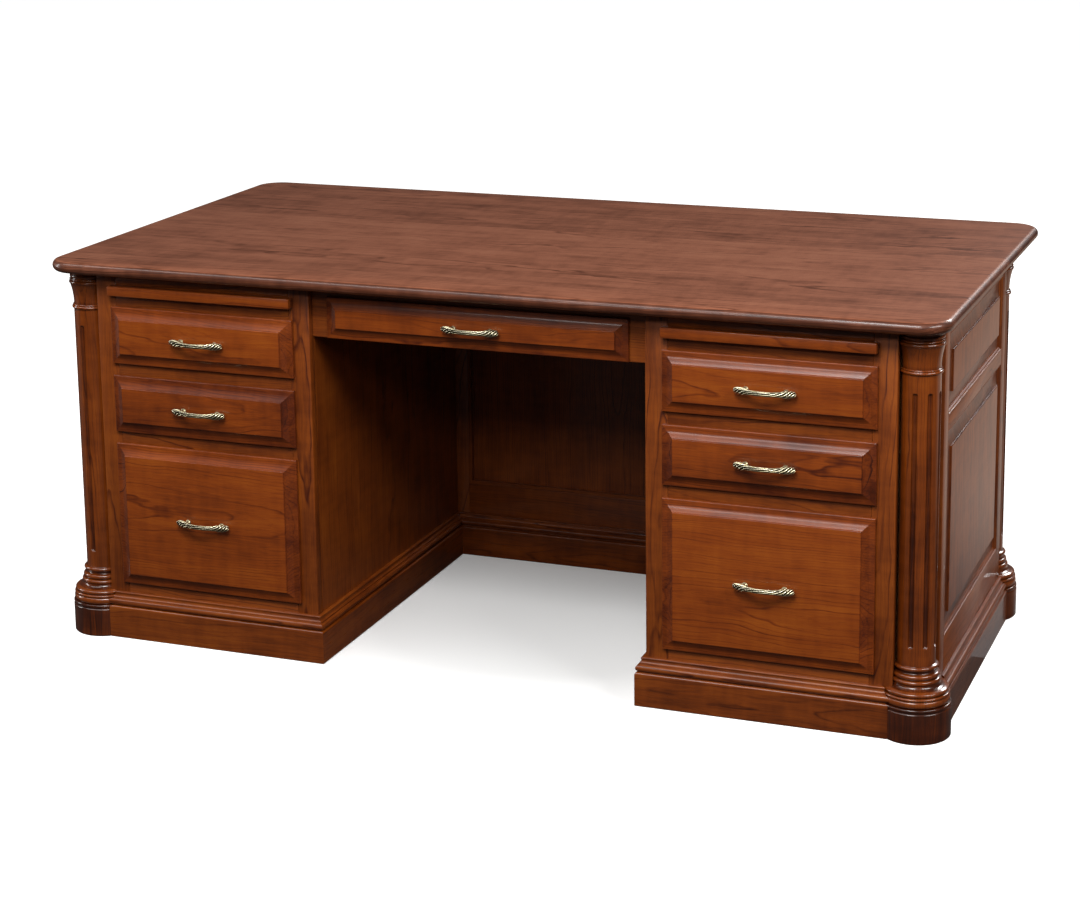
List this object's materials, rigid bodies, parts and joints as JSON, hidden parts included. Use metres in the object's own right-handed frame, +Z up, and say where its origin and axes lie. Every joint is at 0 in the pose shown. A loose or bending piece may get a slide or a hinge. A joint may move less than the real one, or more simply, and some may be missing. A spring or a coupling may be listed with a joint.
{
  "type": "kneehole desk",
  "caption": "Traditional double-pedestal kneehole desk: panelled case, fluted corner columns, drawers with bow pulls, a pencil drawer and pull-out writing slides.",
  "frame": {"origin": "on the floor, under the middle of the desktop", "axes": "+X along the width to the sitter's right, +Y from the sitter to the visitor side, +Z up"},
  "size_m": [1.837, 0.99, 0.79],
  "materials": {
    "cherry_top": "stained cherry, satin lacquer",
    "cherry_case": "stained cherry, satin lacquer",
    "cherry_fronts": "stained cherry, satin lacquer",
    "cherry_turned": "dark stained cherry, semi-gloss lacquer",
    "maple_interior": "clear matt lacquer",
    "antique_brass": "antique brass with dark patina in the twists"
  },
  "bodies": {
    "case": {"desktop": "cherry_top", "back_frame": "cherry_case", "pencil_housing": "cherry_case", "back_upper_panel_left": "cherry_case", "back_upper_panel_centre": "cherry_case", "back_upper_panel_right": "cherry_case", "back_lower_panel_left": "cherry_case", "back_lower_panel_centre": "cherry_case", "back_lower_panel_right": "cherry_case", "base_board_left": "cherry_turned", "base_board_right": "cherry_turned", "base_board_back": "cherry_turned", "base_board_front": "cherry_turned", "base_cap_left": "cherry_turned", "base_cap_right": "cherry_turned", "base_cap_back": "cherry_turned", "base_cap_front": "cherry_turned", "side_frame_left": "cherry_case", "side_upper_panel_left": "cherry_case", "side_lower_panel_left": "cherry_case", "face_frame_left": "cherry_case", "kneehole_side_left": "cherry_case", "runner_frame_left": "maple_interior", "column_front_left": "cherry_turned", "column_rear_left": "cherry_turned", "plinth_block_front_left": "cherry_turned", "plinth_block_rear_left": "cherry_turned", "side_frame_right": "cherry_case", "side_upper_panel_right": "cherry_case", "side_lower_panel_right": "cherry_case", "face_frame_right": "cherry_case", "kneehole_side_right": "cherry_case", "runner_frame_right": "maple_interior", "column_front_right": "cherry_turned", "column_rear_right": "cherry_turned", "plinth_block_front_right": "cherry_turned", "plinth_block_rear_right": "cherry_turned"},
    "top_drawer_left": {"top_drawer_left_front": "cherry_fronts", "top_drawer_left_box": "maple_interior", "top_drawer_left_pull": "antique_brass"},
    "middle_drawer_left": {"middle_drawer_left_front": "cherry_fronts", "middle_drawer_left_box": "maple_interior", "middle_drawer_left_pull": "antique_brass"},
    "file_drawer_left": {"file_drawer_left_front": "cherry_fronts", "file_drawer_left_box": "maple_interior", "file_drawer_left_pull": "antique_brass"},
    "writing_slide_left": {"writing_slide_left": "cherry_fronts"},
    "top_drawer_right": {"top_drawer_right_front": "cherry_fronts", "top_drawer_right_box": "maple_interior", "top_drawer_right_pull": "antique_brass"},
    "middle_drawer_right": {"middle_drawer_right_front": "cherry_fronts", "middle_drawer_right_box": "maple_interior", "middle_drawer_right_pull": "antique_brass"},
    "file_drawer_right": {"file_drawer_right_front": "cherry_fronts", "file_drawer_right_box": "maple_interior", "file_drawer_right_pull": "antique_brass"},
    "writing_slide_right": {"writing_slide_right": "cherry_fronts"},
    "pencil_drawer": {"pencil_drawer_front": "cherry_fronts", "pencil_drawer_box": "maple_interior", "pencil_drawer_pull": "antique_brass"}
  },
  "joints": [
    {"name": "top_drawer_left_slide", "type": "slide", "parent": "case", "child": "top_drawer_left", "axis": [0, -1, 0], "range_m": [0, 0.45]},
    {"name": "middle_drawer_left_slide", "type": "slide", "parent": "case", "child": "middle_drawer_left", "axis": [0, -1, 0], "range_m": [0, 0.45]},
    {"name": "file_drawer_left_slide", "type": "slide", "parent": "case", "child": "file_drawer_left", "axis": [0, -1, 0], "range_m": [0, 0.45]},
    {"name": "writing_slide_left_slide", "type": "slide", "parent": "case", "child": "writing_slide_left", "axis": [0, -1, 0], "range_m": [0, 0.34]},
    {"name": "top_drawer_right_slide", "type": "slide", "parent": "case", "child": "top_drawer_right", "axis": [0, -1, 0], "range_m": [0, 0.45]},
    {"name": "middle_drawer_right_slide", "type": "slide", "parent": "case", "child": "middle_drawer_right", "axis": [0, -1, 0], "range_m": [0, 0.45]},
    {"name": "file_drawer_right_slide", "type": "slide", "parent": "case", "child": "file_drawer_right", "axis": [0, -1, 0], "range_m": [0, 0.45]},
    {"name": "writing_slide_right_slide", "type": "slide", "parent": "case", "child": "writing_slide_right", "axis": [0, -1, 0], "range_m": [0, 0.34]},
    {"name": "pencil_drawer_slide", "type": "slide", "parent": "case", "child": "pencil_drawer", "axis": [0, -1, 0], "range_m": [0, 0.33]}
  ]
}
